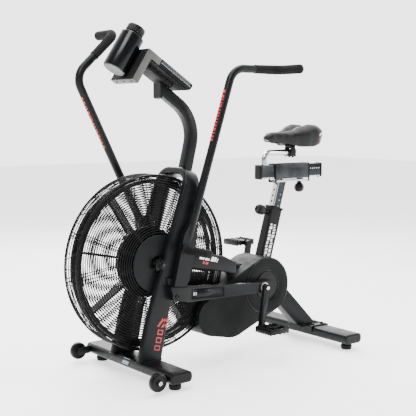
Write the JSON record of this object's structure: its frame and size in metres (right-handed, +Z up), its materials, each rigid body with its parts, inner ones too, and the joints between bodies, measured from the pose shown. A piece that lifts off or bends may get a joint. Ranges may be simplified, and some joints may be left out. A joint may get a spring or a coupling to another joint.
{
  "type": "air bike",
  "caption": "Fan bike with swinging handle arms, a wire fan cage, cranks and pedals, an adjustable saddle, a sloping console and a bottle holder.",
  "frame": {"origin": "centre of the bounding box's base: midway along the bike, on the centre plane, on the floor", "axes": "+Z up; the rider faces -X, and the rider's left side is -Y"},
  "size_m": [1.2736, 0.608, 1.3525],
  "materials": {
    "charcoal_paint": "satin powder coat",
    "black_plastic": "fine grained",
    "black_rubber": "matt",
    "black_wire": "semi-gloss",
    "bright_steel": "polished",
    "grey_steel": "brushed",
    "foam": "soft foam",
    "vinyl": "smooth vinyl",
    "screen": "glossy",
    "gloss_black": "glossy"
  },
  "bodies": {
    "frame": {"front_stabiliser": "charcoal_paint", "rear_stabiliser": "charcoal_paint", "stabiliser_caps": "black_plastic", "rubber_feet": "black_rubber", "wheel_brackets": "charcoal_paint", "fork_leg_left": "charcoal_paint", "fork_leg_right": "charcoal_paint", "fork_arch": "charcoal_paint", "mast": "charcoal_paint", "upper_stays": "charcoal_paint", "main_spine": "charcoal_paint", "seat_tube": "charcoal_paint", "seat_collar": "black_plastic", "rear_strut": "charcoal_paint", "casing_left": "charcoal_paint", "casing_right": "charcoal_paint", "casing_screws": "black_plastic", "shaft_bearings": "bright_steel", "belt_guard": "charcoal_paint", "grille_left": "black_wire", "grille_right": "black_wire", "grille_rim": "black_wire", "fan_axle": "grey_steel", "axle_brackets": "grey_steel", "drive_belt": "black_rubber", "fan_belt": "black_rubber", "foot_pegs": "black_plastic", "console_bracket": "grey_steel", "console_body": "black_plastic", "console_screen": "screen", "bottle_cup": "gloss_black"},
    "fan": {"fan_rotor": "black_plastic", "fan_pulley": "grey_steel"},
    "jack": {"jackshaft": "bright_steel"},
    "crank": {"crank_shaft": "bright_steel", "crank_pulley": "grey_steel", "crank_left": "charcoal_paint", "crank_right": "charcoal_paint"},
    "left_pedal": {"pedal_left": "black_plastic"},
    "right_pedal": {"pedal_right": "black_plastic"},
    "left_arm": {"arm_left": "charcoal_paint", "grip_left": "foam"},
    "right_arm": {"arm_right": "charcoal_paint", "grip_right": "foam"},
    "left_rod": {"rod_left": "charcoal_paint"},
    "right_rod": {"rod_right": "charcoal_paint"},
    "left_wheel": {"transport_wheel_left": "black_plastic"},
    "right_wheel": {"transport_wheel_right": "black_plastic"},
    "post": {"seat_post": "bright_steel", "slider_sleeve": "grey_steel"},
    "post_pin": {"post_knob": "black_plastic"},
    "slider_pin": {"slider_knob": "black_plastic"},
    "slider": {"slider_bar": "grey_steel", "saddle_post": "bright_steel", "saddle_clamp": "black_plastic"},
    "saddle": {"saddle_rails": "bright_steel", "saddle_pad": "vinyl"},
    "start_button": {"button_start": "grey_steel"},
    "mode_button": {"button_mode": "grey_steel"},
    "bottle": {"bottle": "gloss_black"}
  },
  "joints": [
    {"name": "fan_spin", "type": "hinge", "parent": "frame", "child": "fan", "pos_m": [-0.2938, 0, 0.437], "axis": [0, 1, 0], "continuous": true},
    {"name": "jack_spin", "type": "hinge", "parent": "frame", "child": "jack", "pos_m": [0.0628, 0, 0.208], "axis": [0, 1, 0], "continuous": true},
    {"name": "crank_spin", "type": "hinge", "parent": "frame", "child": "crank", "pos_m": [0.2588, 0, 0.29], "axis": [0, 1, 0], "continuous": true},
    {"name": "left_pedal_spin", "type": "hinge", "parent": "crank", "child": "left_pedal", "pos_m": [0.16606, -0.218, 0.14159], "axis": [0, 1, 0], "continuous": true},
    {"name": "right_pedal_spin", "type": "hinge", "parent": "crank", "child": "right_pedal", "pos_m": [0.35154, 0.218, 0.43841], "axis": [0, 1, 0], "continuous": true},
    {"name": "left_arm_swing", "type": "hinge", "parent": "frame", "child": "left_arm", "pos_m": [-0.2082, -0.125, 0.492], "axis": [0, -1, 0], "range_deg": [0, 43.28]},
    {"name": "right_arm_swing", "type": "hinge", "parent": "frame", "child": "right_arm", "pos_m": [-0.2082, 0.125, 0.492], "axis": [0, -1, 0], "range_deg": [-43.28, 0]},
    {"name": "left_rod_swing", "type": "hinge", "parent": "left_arm", "child": "left_rod", "pos_m": [-0.25038, -0.125, 0.31495], "axis": [0, -1, 0], "range_deg": [-48.33, 0]},
    {"name": "right_rod_swing", "type": "hinge", "parent": "right_arm", "child": "right_rod", "pos_m": [-0.11753, 0.125, 0.33419], "axis": [0, -1, 0], "range_deg": [0, 48.33]},
    {"name": "left_wheel_spin", "type": "hinge", "parent": "frame", "child": "left_wheel", "pos_m": [-0.4442, -0.285, 0.048], "axis": [0, 1, 0], "continuous": true},
    {"name": "right_wheel_spin", "type": "hinge", "parent": "frame", "child": "right_wheel", "pos_m": [-0.4442, 0.285, 0.048], "axis": [0, 1, 0], "continuous": true},
    {"name": "seat_height", "type": "slide", "parent": "frame", "child": "post", "axis": [0.284, 0, 0.9588], "range_m": [-0.085, 0.1]},
    {"name": "post_pin_pull", "type": "slide", "parent": "frame", "child": "post_pin", "axis": [-0.9588, 0, 0.284], "range_m": [0, 0.008], "stiffness_N_per_m": 800, "springref_m": -0.004},
    {"name": "slider_pin_pull", "type": "slide", "parent": "post", "child": "slider_pin", "axis": [0, 0, -1], "range_m": [0, 0.008], "stiffness_N_per_m": 800, "springref_m": -0.004},
    {"name": "seat_slide", "type": "slide", "parent": "post", "child": "slider", "axis": [1, 0, 0], "range_m": [-0.07, 0.03]},
    {"name": "saddle_tilt", "type": "hinge", "parent": "slider", "child": "saddle", "pos_m": [0.4588, 0, 0.872], "axis": [0, 1, 0], "range_deg": [-8, 8]},
    {"name": "start_button_press", "type": "slide", "parent": "frame", "child": "start_button", "axis": [-0.5461, 0, -0.8377], "range_m": [0, 0.002], "stiffness_N_per_m": 400},
    {"name": "mode_button_press", "type": "slide", "parent": "frame", "child": "mode_button", "axis": [-0.5461, 0, -0.8377], "range_m": [0, 0.002], "stiffness_N_per_m": 400},
    {"name": "bottle_lift", "type": "slide", "parent": "frame", "child": "bottle", "axis": [0.5461, 0, 0.8377], "range_m": [0, 0.16]}
  ],
  "couplings": [
    {"joint": "jack_spin", "follows": "fan_spin", "ratio": 0.32609},
    {"joint": "crank_spin", "follows": "fan_spin", "ratio": 0.10984},
    {"joint": "right_arm_swing", "follows": "left_arm_swing", "ratio": -1},
    {"joint": "left_rod_swing", "follows": "left_arm_swing", "ratio": -1.112},
    {"joint": "right_rod_swing", "follows": "left_arm_swing", "ratio": 1.112}
  ]
}
